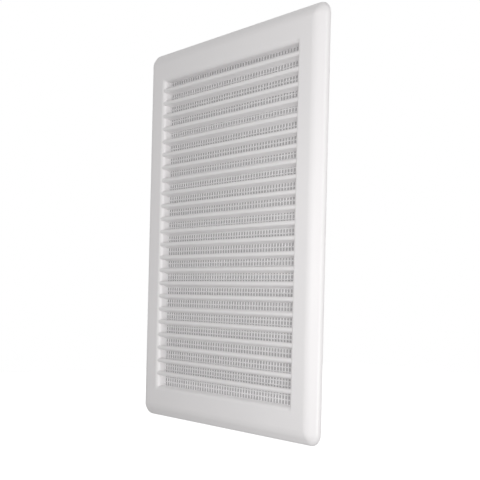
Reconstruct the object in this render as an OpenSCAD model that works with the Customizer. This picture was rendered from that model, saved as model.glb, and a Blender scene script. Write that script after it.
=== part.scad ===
// Louvred ventilation grille with a fixed insect screen.
// The front view is along +Y: X runs to the right, Z up, and +Y goes into the wall.
// The origin is the middle of the opening, in the plane of the wall.

/* [Border frame] */
// Width of the outline
frame_w = 180; // [120:5:260]
// Height of the outline
frame_h = 250; // [160:5:400]
// Width of the border, from the outline to the opening
border_w = 21; // [19:0.5:32]
// Height of the front face above the wall
frame_depth = 6.7; // [5.5:0.1:12]
// Width of the sloping edge, seen from the front
bevel_w = 6; // [4.5:0.5:9]
// Height of the straight rim that meets the wall
rim_h = 2; // [1.4:0.1:3]
// Radius of the outline's corners
corner_r = 7.5; // [3:0.5:12]
// Thickness of the moulded wall
shell_t = 2; // [1.4:0.1:2.6]
// Radius where the flat face turns into the sloping edge
face_round = 9; // [3:0.5:14]
// Radius where the sloping edge turns into the rim
rim_round = 3.5; // [0.5:0.1:4]
// Radius of the soft edge round the opening
opening_round = 3; // [0.6:0.1:5]

/* [Collar behind the opening] */
// Thickness of the collar's wall
collar_t = 3; // [2.6:0.1:4]
// Depth of the collar, from the front face
collar_depth = 6; // [5:0.1:16]

/* [Louvre blades] */
// Wanted distance from one blade to the next
blade_pitch = 8.75; // [7:0.05:16]
// Height of the middle of the blade field above the middle of the opening
blade_raise = 1.3; // [0:0.1:3]
// Height of the rounded lip along a blade's front
lip_h = 2.9; // [1.8:0.1:3.4]
// Distance of the lip behind the front face
lip_setback = 0.4; // [0.2:0.05:1]
// Thickness of the blade behind its lip
blade_t = 1.3; // [0.9:0.1:1.6]
// Level stretch of the underside, from the front of the lip
blade_level = 3; // [2:0.1:4]
// Slope of the blade behind the level stretch, in degrees
blade_slope = 24; // [10:1:40]
// Clearance between a blade's back edge and the screen
blade_gap = 0.4; // [0.2:0.1:1]

/* [Ribs in the back of the border] */
// Thickness of a rib
rib_t = 1.2; // [0.8:0.1:2]
// Wanted distance between ribs
rib_pitch = 34; // [20:1:60]

/* [Insect screen] */
// Thickness of the screen
screen_t = 1; // [0.6:0.1:1.6]
// Width of a thread of the mesh
thread_w = 0.9; // [0.6:0.1:1.5]
// Number of mesh columns
mesh_cols = 9; // [4:1:9]
// Number of mesh rows
mesh_rows = 13; // [4:1:13]
// Distance of the screen's edge inside the collar's outer face
screen_inset = 0.3; // [0.2:0.1:0.6]

/* [Staked pegs] */
// Diameter of a peg
peg_d = 1.4; // [1:0.1:1.4]
// Diameter of its flattened head
peg_head_d = 2.2; // [1.8:0.1:2.4]
// Thickness of its flattened head
peg_head_t = 0.6; // [0.4:0.1:1]
// Clearance round a peg in the screen's margin
peg_clear = 0.1; // [0.05:0.05:0.15]
// Wanted distance between pegs
peg_pitch = 48; // [25:1:80]

/* [Hidden] */

WHITE = [0.90, 0.90, 0.91];
NET_WHITE = [0.80, 0.82, 0.84];
ARC_STEPS = 8;
CUT = 1;            // length by which a cut runs past what it cuts
ROOT = 0.4;         // length by which a joined piece enters its neighbour
END_SKIN = 0.2;     // collar wall left outside the end of a blade

opening_w = frame_w - 2 * border_w;
opening_h = frame_h - 2 * border_w;
collar_w = opening_w + 2 * collar_t;
collar_h = opening_h + 2 * collar_t;
front_y = -frame_depth;
collar_y = front_y + collar_depth;
slope = atan((frame_depth - rim_h) / bevel_w);
// The ends of the blades set the limit of the flare, and the flat face that of the broad rounding
blade_end = collar_t - END_SKIN;
flare = min(opening_round, blade_end + lip_setback + sqrt(2 * blade_end * lip_setback));
face_fillet = min(face_round, 0.9 * (border_w - bevel_w - flare) / tan(slope / 2));
rim_fillet = min(rim_round, 0.9 * rim_h / tan((90 - slope) / 2));

slots = max(2, round((opening_h + lip_h) / blade_pitch));
pitch = (opening_h + lip_h) / slots;
lip_r = lip_h / 2;
lip_y = front_y + lip_setback;
blade_depth = collar_depth - lip_setback - blade_gap;
blade_drop = (blade_depth - blade_level) * tan(blade_slope);

peg_x = (opening_w + collar_t) / 2;
peg_z = (opening_h + collar_t) / 2;
peg_cols = max(2, round(2 * peg_x / peg_pitch));
peg_rows = max(2, round(2 * peg_z / peg_pitch));
rib_cols = max(1, round(opening_w / rib_pitch));
rib_rows = max(1, round(opening_h / rib_pitch));

function unit(v) = v / norm(v);
function mirrored(half) =
    concat(half, [for (i = [len(half) - 1 : -1 : 0]) [-half[i][0], half[i][1]]]);

// Points of the arc of radius r that rounds the corner p between its neighbours a and b
function soft_corner(p, a, b, r) =
    let (u = unit(a - p), v = unit(b - p), half = acos(u * v) / 2,
         reach = r / tan(half), centre = p + unit(u + v) * r / sin(half),
         s = p + u * reach - centre, e = p + v * reach - centre,
         from = atan2(s[1], s[0]), turn = atan2(e[1], e[0]) - from,
         sweep = turn > 180 ? turn - 360 : turn < -180 ? turn + 360 : turn)
    [for (i = [0 : ARC_STEPS])
        let (t = from + sweep * i / ARC_STEPS) centre + r * [cos(t), sin(t)]];

// Border's section as [across, depth], moved inward by t: rim, sloping edge and flat face
function border_section(half, t) =
    let (foot = [half - t, t],
         knee = [half - t, t * (1 - sin(slope)) / cos(slope) - rim_h],
         brow = [half - bevel_w - t * (1 - cos(slope)) / sin(slope), front_y + t],
         knee_arc = t > 0 ? [knee] : soft_corner(knee, foot, brow, rim_fillet))
    mirrored(concat([foot], knee_arc,
                    soft_corner(brow, knee, [0, front_y + t], max(face_fillet - t, 0.5))));

// Opening's section as [across, depth], which flares softly into the front face
function opening_section(half) =
    mirrored(concat([[half, collar_y + CUT]],
                    [for (i = [0 : ARC_STEPS]) let (t = 90 * i / ARC_STEPS)
                        [half + flare * (1 - cos(t)), front_y + flare * (1 - sin(t))]],
                    [[half + flare, front_y - CUT]]));

// Blade's section as [height, depth]: round lip in front, then a web that falls inward
function blade_section() =
    let (lip = [for (i = [0 : 2 * ARC_STEPS]) let (t = 90 - 180 * i / (2 * ARC_STEPS))
                   [lip_r * sin(t), lip_y + lip_r * (1 - cos(t))]],
         top = blade_t / cos(blade_slope) - lip_r,
         level_y = lip_y + blade_level, end_y = lip_y + blade_depth)
    concat(lip, [[-lip_r, level_y], [-lip_r - blade_drop, end_y],
                 [top - blade_drop, end_y], [top, level_y]]);

// Runs a section given as [across, depth] along Z, with across along X
module run_up(points, length) {
    translate([0, 0, -length / 2]) linear_extrude(length) polygon(points);
}

// Runs a section given as [height, depth] along X
module run_across(points, length) {
    translate([-length / 2, 0, 0]) rotate([90, 0, 90])
        linear_extrude(length) polygon([for (p = points) [p[1], p[0]]]);
}

// Box in the plane of the wall, centred on the opening, from depth y0 to y1
module wall_box(w, h, y0, y1) {
    translate([-w / 2, y0, -h / 2]) cube([w, y1 - y0, h]);
}

// Cylinder along +Y, from depth y0 to y1
module stud(d, x, z, y0, y1) {
    translate([x, y0, z]) rotate([-90, 0, 0]) cylinder(d = d, h = y1 - y0, $fn = 24);
}

// Form of the border without its opening, moved inward by t on every side:
// two crossed sections, with one revolved section in each corner of the outline
module border_form(t) {
    core_w = frame_w - 2 * corner_r;
    core_h = frame_h - 2 * corner_r;
    intersection() {
        run_up(border_section(frame_w / 2, t), frame_h);
        run_across(border_section(frame_h / 2, t), frame_w);
        union() {
            wall_box(core_w, frame_h, front_y - CUT, t + CUT);
            wall_box(frame_w, core_h, front_y - CUT, t + CUT);
        }
    }
    for (x = [-1, 1], z = [-1, 1])
        translate([x * core_w / 2, 0, z * core_h / 2]) rotate([90, 0, 0])
            rotate_extrude($fn = 48) intersection() {
                polygon([for (p = border_section(frame_w / 2, t)) [p[0] - core_w / 2, -p[1]]]);
                translate([0, -t - CUT]) square([corner_r, frame_depth + t + 2 * CUT]);
            }
}

// Thin border, open at the back, with the solid block that becomes the collar
module border_shell() {
    difference() {
        border_form(0);
        border_form(shell_t);
    }
    wall_box(collar_w, collar_h, front_y + shell_t - ROOT, collar_y);
}

// Ribs from the collar to the rim, level with the wall and clear of the screen
module ribs() {
    rib_y = front_y + shell_t - ROOT;
    difference() {
        rib_field(rib_y);
        wall_box(collar_w, collar_h, min(collar_y, CUT / 2), CUT);
    }
}

module rib_field(rib_y) {
    intersection() {
        for (side = [0, 1]) {
            for (i = [0 : rib_rows])
                mirror([side, 0, 0])
                    translate([collar_w / 2 - ROOT, rib_y,
                               opening_h * (i / rib_rows - 1 / 2) - rib_t / 2])
                        cube([border_w, -rib_y, rib_t]);
            for (i = [0 : rib_cols])
                mirror([0, 0, side])
                    translate([opening_w * (i / rib_cols - 1 / 2) - rib_t / 2, rib_y,
                               collar_h / 2 - ROOT])
                        cube([rib_t, -rib_y, border_w]);
        }
        border_form(shell_t / 2);
    }
}

module opening_cut() {
    intersection() {
        run_up(opening_section(opening_w / 2), frame_h);
        run_across(opening_section(opening_h / 2), frame_w);
    }
}

// Louvre field: the blades end in the collar's wall
module blades() {
    for (i = [1 : slots - 1])
        translate([0, 0, i * pitch - (opening_h + lip_h) / 2 + blade_raise])
            run_across(blade_section(), collar_w - 2 * END_SKIN);
}

// Places of the pegs, as [x, z], along the middle of the collar's wall
function peg_places() = concat(
    [for (side = [-1, 1], i = [0 : peg_rows])
        [side * peg_x, peg_z * (2 * i / peg_rows - 1)]],
    [for (side = [-1, 1], i = [1 : peg_cols - 1])
        [peg_x * (2 * i / peg_cols - 1), side * peg_z]]);

// Pegs with their heads flattened over the back of the screen
module pegs() {
    head_y = collar_y + screen_t;
    for (p = peg_places()) {
        stud(peg_d, p[0], p[1], collar_y - ROOT, head_y + peg_head_t / 2);
        stud(peg_head_d, p[0], p[1], head_y, head_y + peg_head_t);
    }
}

module grille_body() {
    color(WHITE) {
        difference() {
            union() {
                border_shell();
                ribs();
            }
            opening_cut();
        }
        blades();
        pegs();
    }
}

// Mesh as wide as the opening, in a plain margin that lies on the collar
module insect_screen() {
    gap_w = (opening_w - (mesh_cols - 1) * thread_w) / mesh_cols;
    gap_h = (opening_h - (mesh_rows - 1) * thread_w) / mesh_rows;
    color(NET_WHITE) difference() {
        wall_box(collar_w - 2 * screen_inset, collar_h - 2 * screen_inset,
                 collar_y, collar_y + screen_t);
        for (i = [0 : mesh_cols - 1], j = [0 : mesh_rows - 1])
            translate([i * (gap_w + thread_w) - opening_w / 2, collar_y - CUT,
                       j * (gap_h + thread_w) - opening_h / 2])
                cube([gap_w, screen_t + 2 * CUT, gap_h]);
        for (p = peg_places())
            stud(peg_d + 2 * peg_clear, p[0], p[1], collar_y - CUT, collar_y + screen_t + CUT);
    }
}

grille_body();
insect_screen();
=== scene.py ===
# %% [markdown]
# # A louvred ventilation grille with an insect screen
# The real grille is one white plastic moulding: a broad soft-edged border, a short collar behind the
# opening and a field of fixed louvre blades. A fine net is held on the back of the collar by small pegs
# whose heads were flattened with a hot tool.
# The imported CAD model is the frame. Everything below is fitted to it, with +Y into the wall. The pieces are
# drawn in millimetres and turned into metres when they are finished.

# %% Load the frame
import math
import bmesh
import bpy
from bmesh.types import BMEdge, BMFace, BMVert
from mathutils import Matrix, Vector


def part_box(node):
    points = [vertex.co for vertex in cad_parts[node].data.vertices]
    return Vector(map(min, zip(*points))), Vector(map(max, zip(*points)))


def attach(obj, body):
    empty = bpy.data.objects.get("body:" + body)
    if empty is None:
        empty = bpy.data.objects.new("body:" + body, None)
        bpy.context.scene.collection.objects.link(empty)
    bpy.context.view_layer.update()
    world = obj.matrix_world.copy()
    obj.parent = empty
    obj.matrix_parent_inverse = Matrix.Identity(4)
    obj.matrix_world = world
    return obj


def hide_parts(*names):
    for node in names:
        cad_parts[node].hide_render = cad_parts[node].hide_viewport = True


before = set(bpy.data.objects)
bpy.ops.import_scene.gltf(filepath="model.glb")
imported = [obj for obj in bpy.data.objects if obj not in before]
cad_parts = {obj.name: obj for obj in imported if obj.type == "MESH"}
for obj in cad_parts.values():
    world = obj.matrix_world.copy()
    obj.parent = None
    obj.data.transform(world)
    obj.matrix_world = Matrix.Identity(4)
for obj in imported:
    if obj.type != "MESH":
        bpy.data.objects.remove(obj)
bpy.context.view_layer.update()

# %% [markdown]
# ## The camera
# The photograph was taken from the right, level, and a little below the middle of the grille. The grille
# stands at about 52 degrees to the view, so its far side is clearly shorter. A pinhole camera was fitted to
# the outline and to the edges of the opening: its place, its focal length and the lens shift come out of
# that fit. The shift is needed because the true horizon lies below the middle of the picture.

# %% Camera
IMAGE_PX = 480
FOCAL_PX = 957.8
HORIZON_PX = 297.24
YAW = math.radians(52.456)
ROLL = math.radians(1.373)
CAMERA_PLACE = (0.4845, -0.3625, -0.0422)

camera_data = bpy.data.cameras.new("camera")
camera_data.sensor_width = 36.0
camera_data.lens = camera_data.sensor_width * FOCAL_PX / IMAGE_PX
camera_data.shift_y = (HORIZON_PX - IMAGE_PX / 2) / IMAGE_PX
camera_data.clip_start = 0.01
camera = bpy.data.objects.new("camera", camera_data)
camera.location = CAMERA_PLACE
looking = Vector((-math.sin(YAW), math.cos(YAW), 0.0)).to_track_quat("-Z", "Y").to_matrix()
camera.rotation_euler = (looking @ Matrix.Rotation(ROLL, 3, "Z")).to_euler()
bpy.context.scene.collection.objects.link(camera)
bpy.context.scene.camera = camera
print("lens", round(camera_data.lens, 2), "mm, shift", round(camera_data.shift_y, 4))

# %% [markdown]
# ## The grille's own sizes
# A moulding is drawn before it is cut, so the sizes come first, in millimetres as on a drawing. They are
# the ones that the CAD part was made with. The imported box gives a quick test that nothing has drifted.

# %% Sizes in millimetres
MM = 0.001
FRAME_W, FRAME_H = 180.0, 250.0
BORDER_W = 21.0
DEPTH = 6.7
BEVEL_W, RIM_H = 6.0, 2.0
CORNER_R = 7.5
SHELL_T = 2.0
FACE_ROUND, RIM_ROUND, OPENING_ROUND = 9.0, 3.5, 3.0
COLLAR_T, COLLAR_DEPTH = 3.0, 6.0
OPENING_W, OPENING_H = FRAME_W - 2 * BORDER_W, FRAME_H - 2 * BORDER_W
COLLAR_Y = COLLAR_DEPTH - DEPTH
SLOPE = math.atan((DEPTH - RIM_H) / BEVEL_W)
low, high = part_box("grille_body")
print("width off by", round((high.x - low.x) / MM - FRAME_W, 4), "mm,",
      "height off by", round((high.z - low.z) / MM - FRAME_H, 4), "mm")

# %% [markdown]
# ## Turning a bmesh into a piece
# Every piece ends the same way: doubles merged, normals recalculated so that the faces point outwards,
# millimetres turned into metres, smooth shading with the truly sharp edges marked, and a ride on the CAD
# body. A Weighted Normal modifier then gives the large flat faces the say over the small ones beside them,
# so that a flat face stays flat in the light up to where its rounding starts.

# %% Finish a piece
MERGE = 0.0005   # vertices closer than this become one, in millimetres
SPECK = 0.0002   # shorter edges are taken out

def put_in_scene(name, bm, material):
    mesh = bpy.data.meshes.new(name)
    bm.to_mesh(mesh)
    bm.free()
    mesh.materials.append(material)
    made = bpy.data.objects.new(name, mesh)
    bpy.context.scene.collection.objects.link(made)
    return made

def finish_piece(name, bm, material, node, sharp=32.0, weighted=True):
    """Makes the piece that stands for the CAD node. Edges that bend by over sharp degrees stay sharp."""
    bmesh.ops.remove_doubles(bm, verts=bm.verts, dist=MERGE)
    bmesh.ops.dissolve_degenerate(bm, edges=bm.edges, dist=SPECK)
    bmesh.ops.recalc_face_normals(bm, faces=bm.faces)
    bmesh.ops.scale(bm, vec=(MM, MM, MM), verts=bm.verts)
    for face in bm.faces:
        face.smooth = True
    for edge in bm.edges:
        edge.smooth = edge.calc_face_angle(0.0) < math.radians(sharp)
    open_edges = sum(1 for edge in bm.edges if len(edge.link_faces) != 2)
    piece = put_in_scene(name, bm, material)
    if weighted:
        shading = piece.modifiers.new("flat faces stay flat", "WEIGHTED_NORMAL")
        shading.keep_sharp = True
    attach(piece, "root")
    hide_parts(node)
    piece.data.calc_loop_triangles()
    print(name, len(piece.data.loop_triangles), "triangles,", open_edges, "open edges")

# %% [markdown]
# ## White moulded plastic
# The body is a glossy white plastic from a lightly spark-eroded mould. Close up its skin is very finely
# grained, and a long soft waviness from shrinkage bends its reflections. A plain colour would look like
# paper, so three noises on Object coordinates liven it: the grain drives roughness and a bump, the waves
# drive a second bump, and a broad one shifts the colour by little more than one per cent.

# %% Shader helpers
NOISE_LOW, NOISE_HIGH = 0.3, 0.7   # most of a noise lies between these

def new_material(name):
    material = bpy.data.materials.new(name)
    material.use_nodes = True
    return material, material.node_tree, material.node_tree.nodes["Principled BSDF"]

def noise_on_object(tree, scale, detail, rough=0.5):
    where = tree.nodes.new("ShaderNodeTexCoord")
    noise = tree.nodes.new("ShaderNodeTexNoise")
    noise.inputs["Scale"].default_value = scale
    noise.inputs["Detail"].default_value = detail
    noise.inputs["Roughness"].default_value = rough
    tree.links.new(where.outputs["Object"], noise.inputs["Vector"])
    return noise.outputs["Fac"]

def ramp(tree, value, low_colour, high_colour):
    node = tree.nodes.new("ShaderNodeValToRGB")
    first, last = node.color_ramp.elements
    first.position, last.position = NOISE_LOW, NOISE_HIGH
    first.color, last.color = (*low_colour, 1.0), (*high_colour, 1.0)
    tree.links.new(value, node.inputs["Fac"])
    return node.outputs["Color"]

def spread(tree, value, low_to, high_to):
    node = tree.nodes.new("ShaderNodeMapRange")
    node.inputs["From Min"].default_value, node.inputs["From Max"].default_value = NOISE_LOW, NOISE_HIGH
    node.inputs["To Min"].default_value, node.inputs["To Max"].default_value = low_to, high_to
    tree.links.new(value, node.inputs["Value"])
    return node.outputs["Result"]

def bump(tree, value, strength, distance, under=None):
    node = tree.nodes.new("ShaderNodeBump")
    node.inputs["Strength"].default_value = strength
    node.inputs["Distance"].default_value = distance
    tree.links.new(value, node.inputs["Height"])
    if under is not None:
        tree.links.new(under, node.inputs["Normal"])
    return node.outputs["Normal"]

print("a noise is spread from", NOISE_LOW, "to", NOISE_HIGH)

# %% White plastic
def moulded_white():
    material, tree, skin = new_material("white moulded plastic")
    broad = noise_on_object(tree, scale=22.0, detail=2.0)
    grain = noise_on_object(tree, scale=2600.0, detail=3.0, rough=0.6)
    waves = noise_on_object(tree, scale=60.0, detail=1.0)
    colour = ramp(tree, broad, (0.880, 0.864, 0.867), (0.894, 0.878, 0.880))
    tree.links.new(colour, skin.inputs["Base Color"])
    tree.links.new(spread(tree, grain, 0.34, 0.44), skin.inputs["Roughness"])
    shrunk = bump(tree, waves, strength=0.12, distance=0.0004)
    grained = bump(tree, grain, strength=0.10, distance=0.00003, under=shrunk)
    tree.links.new(grained, skin.inputs["Normal"])
    skin.inputs["IOR"].default_value = 1.5
    return material

white = moulded_white()
print("material:", white.name)

# %% [markdown]
# ## The border and its collar
# Border and collar are one wall that goes round the opening, so they are drawn as one closed section and
# carried round the rectangle. The section starts at the foot of the rim, climbs the rounded sloping edge,
# crosses the flat face, dips softly into the opening, goes back along the collar and returns behind the
# face, where the border is hollow. Each point of the section becomes a ring. While a point is nearer to the
# outline than the corner radius, its ring has round corners; further in, the corners close to a mitre, as
# they do on the real tool. A short row of faces is held beside each corner, so that the corner's shading
# doesn't creep along the sides. Extruding edge rings keeps the faces in tidy rows, which the shading likes.

# %% Section of the border
FOOT_ROUND, COLLAR_ROUND, HOLLOW_ROUND = 0.25, 0.3, 0.4
INNER_BEND_ROUND, INNER_FOOT_ROUND = 0.15, 0.08

def soft_corner(corner, before, after, radius, steps):
    """Points of the arc that rounds a corner between the point before it and the one after."""
    corner, before, after = Vector(corner), Vector(before), Vector(after)
    back, on = (before - corner).normalized(), (after - corner).normalized()
    half = math.acos(max(-1.0, min(1.0, back.dot(on)))) / 2
    reach = radius / math.tan(half)
    centre = corner + (back + on).normalized() * radius / math.sin(half)
    start, end = corner + back * reach - centre, corner + on * reach - centre
    first = math.atan2(start.y, start.x)
    turn = (math.atan2(end.y, end.x) - first + math.pi) % (2 * math.pi) - math.pi
    angles = [first + turn * i / steps for i in range(steps + 1)]
    return [centre + radius * Vector((math.cos(angle), math.sin(angle))) for angle in angles]

def rounded(corners):
    """Closed outline round the corners, each given as (point, radius, steps of its arc)."""
    points = []
    for i, (corner, radius, steps) in enumerate(corners):
        before, after = corners[i - 1][0], corners[(i + 1) % len(corners)][0]
        points += soft_corner(corner, before, after, radius, steps)
    return points

def border_section():
    """Closed section as (distance in from the outline, depth)."""
    knee_x = BEVEL_W + SHELL_T * (1 - math.cos(SLOPE)) / math.sin(SLOPE)
    bend_y = SHELL_T * (1 - math.sin(SLOPE)) / math.cos(SLOPE) - RIM_H
    collar_x, hollow_y = BORDER_W - COLLAR_T, SHELL_T - DEPTH
    return rounded([((0.0, 0.0), FOOT_ROUND, 2), ((0.0, -RIM_H), RIM_ROUND, 8),
                    ((BEVEL_W, -DEPTH), FACE_ROUND, 10), ((BORDER_W, -DEPTH), OPENING_ROUND, 10),
                    ((BORDER_W, COLLAR_Y), COLLAR_ROUND, 2), ((collar_x, COLLAR_Y), COLLAR_ROUND, 2),
                    ((collar_x, hollow_y), HOLLOW_ROUND, 3), ((knee_x, hollow_y), FACE_ROUND - SHELL_T, 6),
                    ((SHELL_T, bend_y), INNER_BEND_ROUND, 1), ((SHELL_T, 0.0), INNER_FOOT_ROUND, 1)])

section = border_section()
print(len(section), "points round the border's section")

# %% Carry the section round the rectangle
ARC = 8             # faces in each round corner
QUARTER = ARC + 3   # points of a ring in each quarter: those of the arc, and one beside each of its ends
HOLD = 3.0          # distance from the arc to the point beside it

def only(kind, geom):
    """The vertices, edges or faces among what an operator gives back."""
    return [part for part in geom if isinstance(part, kind)]

def place_ring(ring, step_of, inset, depth):
    core_w, core_h = FRAME_W / 2 - max(CORNER_R, inset), FRAME_H / 2 - max(CORNER_R, inset)
    radius = max(CORNER_R - inset, 0.0)
    for vert in ring:
        quarter, part = divmod(vert[step_of], QUARTER)
        turned = math.radians(90 * (quarter + min(max(part - 1, 0), ARC) / ARC))
        back = HOLD * ((part == 0) - (part == QUARTER - 1))
        side_x = 1 if quarter in (0, 3) else -1
        side_z = 1 if quarter in (0, 1) else -1
        vert.co = (side_x * core_w + radius * math.cos(turned) + back * math.sin(turned), depth,
                   side_z * core_h + radius * math.sin(turned) - back * math.cos(turned))

def rings_round_opening(points):
    """Carries the closed section, as (distance in, depth), round the rectangle."""
    bm = bmesh.new()
    step_of = bm.verts.layers.int.new("step")
    ring = bmesh.ops.create_circle(bm, segments=4 * QUARTER, radius=1.0)["verts"]
    for vert in ring:
        turned = math.atan2(vert.co.y, vert.co.x) % (2 * math.pi)
        vert[step_of] = round(turned / (2 * math.pi) * len(ring)) % len(ring)
    place_ring(ring, step_of, *points[0])
    first = list(bm.edges)
    edges = first
    for inset, depth in points[1:]:
        new = bmesh.ops.extrude_edge_only(bm, edges=edges)["geom"]
        edges = only(BMEdge, new)
        place_ring(only(BMVert, new), step_of, inset, depth)
    bmesh.ops.bridge_loops(bm, edges=first + edges)
    return bm

finish_piece("border_and_collar", rings_round_opening(section), white,
             "grille_body", sharp=46.0)

# %% [markdown]
# ## The louvre blades
# A blade sheds rain and hides what is behind it: a rounded lip in front, and a thinner web that falls
# inwards behind it, here by 24 degrees. A box is made as deep as the lip's radius, its back face is
# extruded twice to draw out the level stretch and the falling web, and the lip's front edges are
# bevelled into a half round. One blade is then copied at the pitch that divides the opening evenly. The
# whole row sits a little above the middle, as it does in the photograph. The ends are buried in the collar,
# because the real ones are moulded in one with it.

# %% Tools for a blade
NEAR = 1e-4   # depths closer than this are the same

def extrude_cap(bm, cap, keep=False):
    """Extrudes a cap of faces, not moved yet, and returns the new vertices and the new cap."""
    new = bmesh.ops.extrude_face_region(bm, geom=cap)["geom"]
    if not keep:
        bmesh.ops.delete(bm, geom=cap, context="FACES_ONLY")
    return only(BMVert, new), only(BMFace, new)

def draw_out(bm, depth, top, bottom):
    """Extrudes the back face to that depth and sets its new top and bottom."""
    deepest = max(vert.co.y for vert in bm.verts)
    back = [face for face in bm.faces if all(abs(vert.co.y - deepest) < NEAR for vert in face.verts)]
    verts, _ = extrude_cap(bm, back)
    middle = sum(vert.co.z for vert in verts) / len(verts)
    for vert in verts:
        vert.co.y = depth
        vert.co.z = top if vert.co.z > middle else bottom

def round_long_edges(bm, depth, radius, steps):
    """Bevels the edges that run along X at that depth."""
    edges = [edge for edge in bm.edges
             if all(abs(vert.co.y - depth) < NEAR for vert in edge.verts)
             and abs(edge.verts[0].co.x - edge.verts[1].co.x) > NEAR]
    bmesh.ops.bevel(bm, geom=edges, offset=radius, offset_type="OFFSET", segments=steps,
                    profile=0.5, affect="EDGES", material=-1, clamp_overlap=False)

print("depths are the same within", NEAR, "mm")

# %% One blade
LIP_H, LIP_SETBACK = 2.9, 0.4
BLADE_T, BLADE_LEVEL, BLADE_SLOPE = 1.3, 3.0, math.radians(24)
BLADE_GAP, END_SKIN = 0.4, 0.2
BLADE_DEPTH = COLLAR_DEPTH - LIP_SETBACK - BLADE_GAP
LIP_SHARE = 0.995   # share of the lip's radius that each bevel takes, so that the two don't quite meet
BACK_ROUND = 0.2

def one_blade():
    bm = bmesh.new()
    lip_r, lip_y = LIP_H / 2, LIP_SETBACK - DEPTH
    length = OPENING_W + 2 * (COLLAR_T - END_SKIN)
    bmesh.ops.create_cube(bm, size=1.0)
    bmesh.ops.scale(bm, vec=(length, lip_r, LIP_H), verts=bm.verts)
    bmesh.ops.translate(bm, vec=(0, lip_y + lip_r / 2, 0), verts=bm.verts)
    drop = (BLADE_DEPTH - BLADE_LEVEL) * math.tan(BLADE_SLOPE)
    top = BLADE_T / math.cos(BLADE_SLOPE) - lip_r
    draw_out(bm, lip_y + BLADE_LEVEL, top, -lip_r)
    draw_out(bm, lip_y + BLADE_DEPTH, top - drop, -lip_r - drop)
    round_long_edges(bm, lip_y, lip_r * LIP_SHARE, 7)
    round_long_edges(bm, lip_y + BLADE_DEPTH, BACK_ROUND, 2)
    return bm

print("a blade is", round(BLADE_DEPTH, 2), "mm deep, and its lip", LIP_H, "mm high")

# %% The field of blades
WANTED_PITCH = 8.75
SLOTS = round((OPENING_H + LIP_H) / WANTED_PITCH)
PITCH = (OPENING_H + LIP_H) / SLOTS
BLADE_RAISE = 1.3

def copy_along(bm, places):
    """Moves the shape to the first place and puts a copy at each of the others."""
    bmesh.ops.translate(bm, vec=places[0], verts=bm.verts)
    shape = bm.verts[:] + bm.edges[:] + bm.faces[:]
    for place in places[1:]:
        new = bmesh.ops.duplicate(bm, geom=shape)["geom"]
        bmesh.ops.translate(bm, vec=Vector(place) - Vector(places[0]), verts=only(BMVert, new))
    return bm

blade_places = [(0, 0, BLADE_RAISE - (OPENING_H + LIP_H) / 2 + i * PITCH) for i in range(1, SLOTS)]
print(len(blade_places), "blades,", round(PITCH, 3), "mm apart")
finish_piece("louvre_blades", copy_along(one_blade(), blade_places), white,
             "grille_body")

# %% [markdown]
# ## The ribs in the hollow of the border
# A wide thin border would sag when it is pressed to the wall, so the mould has slots that leave thin ribs
# between collar and rim. Each is a block cut off along the middle of the sloping wall by a bisecting plane,
# so that its end is buried in that wall. The cut is closed again, because every piece is a solid.

# %% One rib
RIB_T = 1.2
ROOT = 0.4       # how deep a rib sits in the face, and a peg in the collar
RIB_ROOT = 0.2   # how deep a rib sits in the collar: less than the screen's inset, so it stays clear of it

def one_rib(reach):
    """A rib that runs outward along +X from the collar to the rim. reach is half the frame's size."""
    bm = bmesh.new()
    inner, outer = reach - BORDER_W + COLLAR_T - RIB_ROOT, reach - SHELL_T / 2
    front = SHELL_T - DEPTH - ROOT
    bmesh.ops.create_cube(bm, size=1.0)
    bmesh.ops.scale(bm, vec=(outer - inner, -front, RIB_T), verts=bm.verts)
    bmesh.ops.translate(bm, vec=((outer + inner) / 2, front / 2, 0), verts=bm.verts)
    outward = Vector((math.sin(SLOPE), -math.cos(SLOPE), 0))
    knee = Vector((reach, -RIM_H, 0)) - outward * SHELL_T / 2
    bmesh.ops.bisect_plane(bm, geom=bm.verts[:] + bm.edges[:] + bm.faces[:], plane_co=knee,
                           plane_no=outward, clear_outer=True)
    bmesh.ops.holes_fill(bm, edges=[edge for edge in bm.edges if edge.is_boundary])
    return bm

print("a rib is", RIB_T, "mm thick")

# %% All the ribs
RIB_PITCH = 34.0

def merged(parts):
    """One bmesh that holds all the parts."""
    whole = bmesh.new()
    for part in parts:
        mesh = bpy.data.meshes.new("part")
        part.to_mesh(mesh)
        part.free()
        whole.from_mesh(mesh)
        bpy.data.meshes.remove(mesh)
    return whole

def ribs():
    rows = []
    for reach, length, turn in ((FRAME_W / 2, OPENING_H, 0), (FRAME_H / 2, OPENING_W, 90)):
        count = round(length / RIB_PITCH)
        places = [(0, 0, length * (i / count - 0.5)) for i in range(count + 1)]
        for side in (0, 180):
            row = copy_along(one_rib(reach), places)
            bmesh.ops.rotate(row, cent=(0, 0, 0), verts=row.verts,
                             matrix=Matrix.Rotation(math.radians(turn + side), 3, "Y"))
            rows.append(row)
    return merged(rows)

finish_piece("back_ribs", ribs(), white, "grille_body")

# %% [markdown]
# ## The insect screen
# The net is plastic as well: soft threads that are joined where they cross, so every crossing is a small
# knot. A thread is drawn as a six-sided ring that is extruded along its length, thick on the crossings and
# thin between them. The two directions are two pieces, which keeps each mesh light. The plain margin is a
# flat ring that lies on the edge of the collar, made like the border.

# %% Net material
def net_plastic():
    material, tree, skin = new_material("off-white net plastic")
    broad = noise_on_object(tree, scale=35.0, detail=2.0)
    drawn = noise_on_object(tree, scale=900.0, detail=2.0)
    colour = ramp(tree, broad, (0.89, 0.882, 0.888), (0.92, 0.912, 0.917))
    tree.links.new(colour, skin.inputs["Base Color"])
    tree.links.new(spread(tree, drawn, 0.45, 0.6), skin.inputs["Roughness"])
    tree.links.new(bump(tree, drawn, strength=0.2, distance=0.00006), skin.inputs["Normal"])
    return material

net = net_plastic()
print("material:", net.name)

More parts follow.
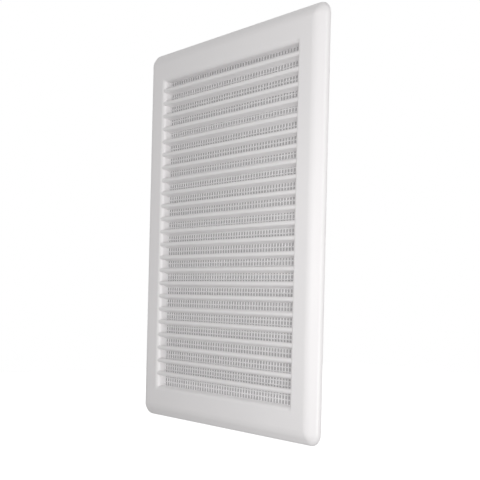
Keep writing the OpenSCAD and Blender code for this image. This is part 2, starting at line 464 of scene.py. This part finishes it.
# %% One thread
SCREEN_T = 1.0
NET_Y = COLLAR_Y + SCREEN_T / 2
THIN, THICK = 0.35, 0.46   # radius of a thread between its crossings and on them
THREAD_END = 0.8           # how far a thread runs into the margin

def turned_shape(outline, sides):
    """A solid along +Z, drawn ring by ring from its outline as (radius, height)."""
    bm = bmesh.new()
    start_radius, start_height = outline[0]
    bmesh.ops.create_circle(bm, segments=sides, radius=start_radius, cap_ends=True)
    bmesh.ops.translate(bm, vec=(0, 0, start_height), verts=bm.verts)
    cap = bm.faces[:]
    for i, (radius, height) in enumerate(outline[1:]):
        ring, cap = extrude_cap(bm, cap, keep=(i == 0))
        for vert in ring:
            flat = Vector((vert.co.x, vert.co.y, 0)).normalized() * radius
            vert.co = (flat.x, flat.y, height)
    return bm

def thread(length, crossings):
    """A thread along +Z from end to end of the opening, knotted at every crossing."""
    half_gap = length / crossings / 2
    outline = [(THIN, -length / 2 - THREAD_END)]
    outline += [(THIN if i % 2 else THICK, -length / 2 + half_gap * i) for i in range(1, 2 * crossings)]
    outline += [(THIN, length / 2 + THREAD_END)]
    bm = turned_shape(outline, sides=6)
    bmesh.ops.translate(bm, vec=(0, NET_Y, 0), verts=bm.verts)
    return bm

print("a thread is", 2 * THIN, "mm wide, and", 2 * THICK, "mm on a crossing")

# %% The net
MESH_PITCH = 2.7
NET_COLS, NET_ROWS = round(OPENING_W / MESH_PITCH), round(OPENING_H / MESH_PITCH)

def threads_up():
    gap = OPENING_W / NET_COLS
    places = [(-OPENING_W / 2 + gap * i, 0, 0) for i in range(1, NET_COLS)]
    return copy_along(thread(OPENING_H, NET_ROWS), places)

def threads_across():
    gap = OPENING_H / NET_ROWS
    places = [(0, 0, -OPENING_H / 2 + gap * i) for i in range(1, NET_ROWS)]
    bm = thread(OPENING_W, NET_COLS)
    bmesh.ops.rotate(bm, cent=(0, 0, 0), verts=bm.verts, matrix=Matrix.Rotation(math.radians(90), 3, "Y"))
    return copy_along(bm, places)

finish_piece("net_threads_up", threads_up(), net, "insect_screen",
             sharp=70.0, weighted=False)
finish_piece("net_threads_across", threads_across(), net, "insect_screen",
             sharp=70.0, weighted=False)

# %% Margin
SCREEN_INSET = 0.3
MARGIN_ROUND = 0.15

def margin_section():
    outer, back = BORDER_W - COLLAR_T + SCREEN_INSET, COLLAR_Y + SCREEN_T
    corners = [(outer, COLLAR_Y), (BORDER_W, COLLAR_Y), (BORDER_W, back), (outer, back)]
    return rounded([(corner, MARGIN_ROUND, 2) for corner in corners])

finish_piece("net_margin", rings_round_opening(margin_section()), net,
             "insect_screen", sharp=50.0)

# %% [markdown]
# ## The staked pegs
# The screen is held by pegs that were moulded on the collar's edge and pass through its margin. A hot tool
# flattened their ends into low round heads with a shallow dimple. A peg is a small turned shape, so it is
# drawn ring by ring as the threads are, and then laid along +Y.

# %% Pegs
PEG_D, HEAD_D, HEAD_T, PEG_PITCH = 1.4, 2.2, 0.6, 48.0
# The head's round side, as (distance in from its widest ring, height above the screen)
HEAD_SIDE = [(0.08, 0.0), (0.0, 0.12), (0.05, 0.34), (0.3, 0.54), (0.55, HEAD_T)]
# The dimple in its top, as (radius, height above the screen)
DIMPLE = [(0.3, 0.5), (0.12, 0.45)]

def one_peg():
    head_y = COLLAR_Y + SCREEN_T
    outline = [(PEG_D / 2, COLLAR_Y - ROOT), (PEG_D / 2, head_y)]
    outline += [(HEAD_D / 2 - inset, head_y + height) for inset, height in HEAD_SIDE]
    outline += [(radius, head_y + height) for radius, height in DIMPLE]
    bm = turned_shape(outline, sides=16)
    bmesh.ops.rotate(bm, cent=(0, 0, 0), verts=bm.verts, matrix=Matrix.Rotation(math.radians(-90), 3, "X"))
    return bm

def peg_places():
    """Places along the middle of the collar's edge, on both upright sides and then on the level ones."""
    x, z = (OPENING_W + COLLAR_T) / 2, (OPENING_H + COLLAR_T) / 2
    cols, rows = round(2 * x / PEG_PITCH), round(2 * z / PEG_PITCH)
    places = [(side * x, 0, z * (2 * i / rows - 1)) for side in (-1, 1) for i in range(rows + 1)]
    places += [(x * (2 * i / cols - 1), 0, side * z) for side in (-1, 1) for i in range(1, cols)]
    return places

peg_spots = peg_places()
finish_piece("staked_pegs", copy_along(one_peg(), peg_spots), white,
             "grille_body", sharp=50.0)
print(len(peg_spots), "pegs")

# %% [markdown]
# ## The white background
# The photograph shows the grille alone on white, with soft fill from all round. The world gives both. The
# fill that lights the grille is dim, so that pale plastic keeps its tone. White is shown only to the camera
# and in reflections, so the background doesn't wash the plastic out.

# %% World
FILL_STRENGTH, FILL_TINT = 0.39, (1.0, 0.99, 0.99)

def white_background(strength, tint):
    world = bpy.data.worlds.new("studio")
    bpy.context.scene.world = world
    world.use_nodes = True
    tree = world.node_tree
    fill = tree.nodes["Background"]
    fill.inputs["Color"].default_value = (*tint, 1.0)
    fill.inputs["Strength"].default_value = strength
    seen = tree.nodes.new("ShaderNodeBackground")
    seen.inputs["Color"].default_value = (1.0, 1.0, 1.0, 1.0)
    seen.inputs["Strength"].default_value = 1.0
    path = tree.nodes.new("ShaderNodeLightPath")
    shown = path.outputs["Is Camera Ray"]
    for kind in ("Is Glossy Ray", "Is Transmission Ray"):
        either = tree.nodes.new("ShaderNodeMath")
        either.operation = "MAXIMUM"
        tree.links.new(shown, either.inputs[0])
        tree.links.new(path.outputs[kind], either.inputs[1])
        shown = either.outputs[0]
    mix = tree.nodes.new("ShaderNodeMixShader")
    tree.links.new(shown, mix.inputs["Fac"])
    tree.links.new(fill.outputs[0], mix.inputs[1])
    tree.links.new(seen.outputs[0], mix.inputs[2])
    tree.links.new(mix.outputs[0], tree.nodes["World Output"].inputs["Surface"])

white_background(FILL_STRENGTH, FILL_TINT)
bpy.context.scene.view_settings.view_transform = "Standard"
print("world fill:", FILL_STRENGTH)

# %% [markdown]
# ## The soft boxes
# The lamps are soft boxes on the right, where the photograph is brightest. The strongest box stands below
# the middle and lights the undersides of the upper blades. A weaker one stands high and lights the tops of
# the lips. A small one stands near the right side of the border, so its light falls off quickly and leaves
# the far side greyer.

# %% Lights
def soft_box(name, place, aim, size, watts):
    lamp = bpy.data.lights.new(name, "AREA")
    lamp.shape, lamp.size, lamp.energy = "SQUARE", size, watts
    holder = bpy.data.objects.new(name, lamp)
    holder.location = place
    holder.rotation_euler = (Vector(aim) - Vector(place)).to_track_quat("-Z", "Y").to_euler()
    bpy.context.scene.collection.objects.link(holder)

soft_box("strongest box, low right", place=(0.56, -0.33, -0.14), aim=(0, 0, 0), size=0.24, watts=1.35)
soft_box("weaker box, high right", place=(0.55, -0.35, 0.22), aim=(0, 0, 0), size=0.20, watts=0.6)
soft_box("small near box", place=(0.14, -0.24, -0.02), aim=(0.08, 0, -0.02), size=0.10, watts=0.10)

# %% [markdown]
# ## A grey card behind the net
# The card's grey is painted shade: it darkens the holes of the net, where there is only shade behind the
# grille. The shadows of the threads and blades that fall on it are real light. It casts no shadow, and it can
# be seen from the front only, so that the back of the grille stays open to view.

# %% Grey card that paints the shade behind the net
# Painted shade: this grey darkens what the camera sees through the meshes.
PAINTED_SHADE_GREY = (0.58, 0.57, 0.575)
CARD_OVERLAP = 0.5   # how far the card runs past the opening on each side, in millimetres
CARD_GAP = 0.05      # its distance behind the screen

def painted_shade_card_material():
    material, tree, skin = new_material("painted shade card")
    # The card's grey is painted shade, seen from the front; from behind the card is clear.
    skin.inputs["Base Color"].default_value = (*PAINTED_SHADE_GREY, 1.0)
    skin.inputs["Roughness"].default_value = 0.9
    clear = tree.nodes.new("ShaderNodeBsdfTransparent")
    side = tree.nodes.new("ShaderNodeNewGeometry")
    mix = tree.nodes.new("ShaderNodeMixShader")
    tree.links.new(side.outputs["Backfacing"], mix.inputs["Fac"])
    tree.links.new(skin.outputs[0], mix.inputs[1])
    tree.links.new(clear.outputs[0], mix.inputs[2])
    tree.links.new(mix.outputs[0], tree.nodes["Material Output"].inputs["Surface"])
    return material

def painted_shade_card():
    width, height = (OPENING_W + 2 * CARD_OVERLAP) * MM, (OPENING_H + 2 * CARD_OVERLAP) * MM
    bm = bmesh.new()
    bmesh.ops.create_grid(bm, x_segments=1, y_segments=1, size=0.5)
    bmesh.ops.scale(bm, vec=(width, height, 1.0), verts=bm.verts)
    bmesh.ops.rotate(bm, cent=(0, 0, 0), verts=bm.verts, matrix=Matrix.Rotation(math.radians(90), 3, "X"))
    bmesh.ops.translate(bm, vec=(0, (COLLAR_Y + SCREEN_T + CARD_GAP) * MM, 0), verts=bm.verts)
    card = put_in_scene("painted_shade_card", bm, painted_shade_card_material())
    card.visible_diffuse = card.visible_glossy = card.visible_shadow = False
    print("card in mm:", round(width / MM, 1), "x", round(height / MM, 1))

painted_shade_card()

# %% [markdown]
# ## A pale floor
# The grille stands on its own in the photograph, so the floor lies far below it. It glows for the camera
# alone, which makes it nearly as white as the background, and the glow adds no light to the grille.

# %% Floor
FLOOR_Z, FLOOR_HALF = -0.45, 4.0
FLOOR_PALE, FLOOR_GLOW = 0.85, 0.75

def glowing_floor():
    material, tree, skin = new_material("pale floor")
    skin.inputs["Base Color"].default_value = (FLOOR_PALE, FLOOR_PALE, FLOOR_PALE, 1.0)
    skin.inputs["Roughness"].default_value = 0.8
    glow = tree.nodes.new("ShaderNodeEmission")
    path = tree.nodes.new("ShaderNodeLightPath")
    seen = tree.nodes.new("ShaderNodeMath")
    seen.operation = "MULTIPLY"
    seen.inputs[1].default_value = FLOOR_GLOW
    tree.links.new(path.outputs["Is Camera Ray"], seen.inputs[0])
    tree.links.new(seen.outputs[0], glow.inputs["Strength"])
    both = tree.nodes.new("ShaderNodeAddShader")
    tree.links.new(skin.outputs[0], both.inputs[0])
    tree.links.new(glow.outputs[0], both.inputs[1])
    tree.links.new(both.outputs[0], tree.nodes["Material Output"].inputs["Surface"])
    return material

def pale_floor(height):
    bm = bmesh.new()
    bmesh.ops.create_grid(bm, x_segments=1, y_segments=1, size=FLOOR_HALF)
    bmesh.ops.translate(bm, vec=(0, 0, height), verts=bm.verts)
    floor = put_in_scene("floor", bm, glowing_floor())

pale_floor(FLOOR_Z)
print("floor at", FLOOR_Z, "m")
